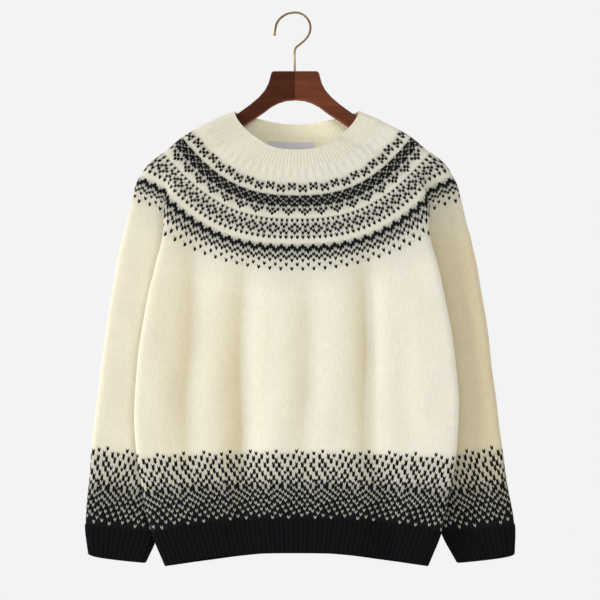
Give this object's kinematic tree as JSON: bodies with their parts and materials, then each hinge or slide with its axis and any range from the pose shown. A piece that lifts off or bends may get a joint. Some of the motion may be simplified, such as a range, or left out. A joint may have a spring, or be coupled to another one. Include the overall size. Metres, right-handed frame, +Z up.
{
  "type": "nordic sweater on a wooden hanger",
  "caption": "Seamless round-yoke wool sweater with traditional colourwork and ribbed edges, hanging open-necked on a shaped wooden hanger with a brass wire hook.",
  "frame": {"origin": "where the hook rests on a rail: the highest point inside its bend", "axes": "+Z up along the hanging garment, +X to the right seen from the front, -Y out of the garment's front"},
  "size_m": [0.5714, 0.0464, 0.7348],
  "materials": {
    "cream_rib": "undyed wool rib, matt and slightly hairy",
    "yoke_knit": "undyed wool stocking stitch with rounds of black stranded colourwork",
    "body_knit": "undyed wool stocking stitch that turns to black in a speckled band",
    "black_rib": "black wool rib, matt",
    "woven_label": "pale woven tape, bare",
    "hanger_wood": "dark red-brown stained hardwood with a satin varnish",
    "aged_brass": "antiqued brass wire"
  },
  "bodies": {
    "root": {"neckband": "cream_rib", "yoke": "yoke_knit", "body": "body_knit", "sleeve_left": "body_knit", "sleeve_right": "body_knit", "hem_rib": "black_rib", "cuff_left": "black_rib", "cuff_right": "black_rib", "neck_label": "woven_label", "hanger_left": "hanger_wood", "hanger_right": "hanger_wood", "hook": "aged_brass"}
  },
  "joints": []
}
